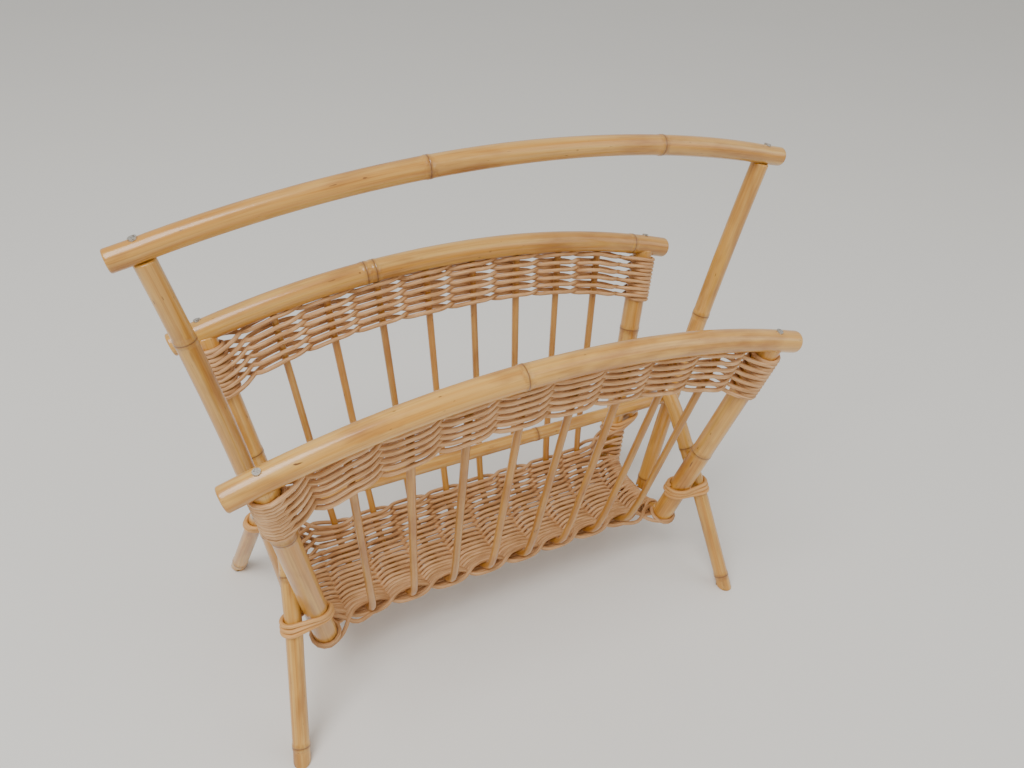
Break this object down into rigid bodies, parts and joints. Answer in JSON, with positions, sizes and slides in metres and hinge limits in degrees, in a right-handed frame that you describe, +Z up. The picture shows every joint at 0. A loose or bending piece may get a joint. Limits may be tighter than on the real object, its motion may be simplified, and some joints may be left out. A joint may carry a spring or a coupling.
{
  "type": "magazine rack",
  "caption": "Free-standing cane magazine rack: two leaning panels and a tray woven on bent stakes, arched end legs and a bowed carry handle.",
  "frame": {"origin": "on the floor, midway between the four feet", "axes": "+X along the rack, +Y to its rear, +Z up"},
  "size_m": [0.465, 0.2118, 0.387],
  "materials": {
    "cane_pole": "varnished rattan pole, satin",
    "cane_stake": "varnished thin rattan, satin",
    "woven_cane": "woven reed core, lightly lacquered",
    "nail_steel": "dulled wire nail"
  },
  "bodies": {
    "root": {"carry_handle": "cane_pole", "handle_post_left": "cane_pole", "handle_post_right": "cane_pole", "centre_stretcher": "cane_pole", "front_rail": "cane_pole", "rear_rail": "cane_pole", "front_post_left": "cane_pole", "front_post_right": "cane_pole", "rear_post_left": "cane_pole", "rear_post_right": "cane_pole", "leg_arch_left": "cane_pole", "leg_arch_right": "cane_pole", "end_rib_left": "cane_stake", "end_rib_right": "cane_stake", "stake_1": "cane_stake", "stake_2": "cane_stake", "stake_3": "cane_stake", "stake_4": "cane_stake", "stake_5": "cane_stake", "stake_6": "cane_stake", "stake_7": "cane_stake", "stake_8": "cane_stake", "front_band_weave": "woven_cane", "rear_band_weave": "woven_cane", "tray_weave": "woven_cane", "lashing_front_left": "woven_cane", "lashing_front_right": "woven_cane", "lashing_rear_left": "woven_cane", "lashing_rear_right": "woven_cane", "rail_nails": "nail_steel", "handle_nails": "nail_steel", "arch_nails": "nail_steel", "stretcher_nails": "nail_steel", "foot_nails": "nail_steel"}
  },
  "joints": []
}
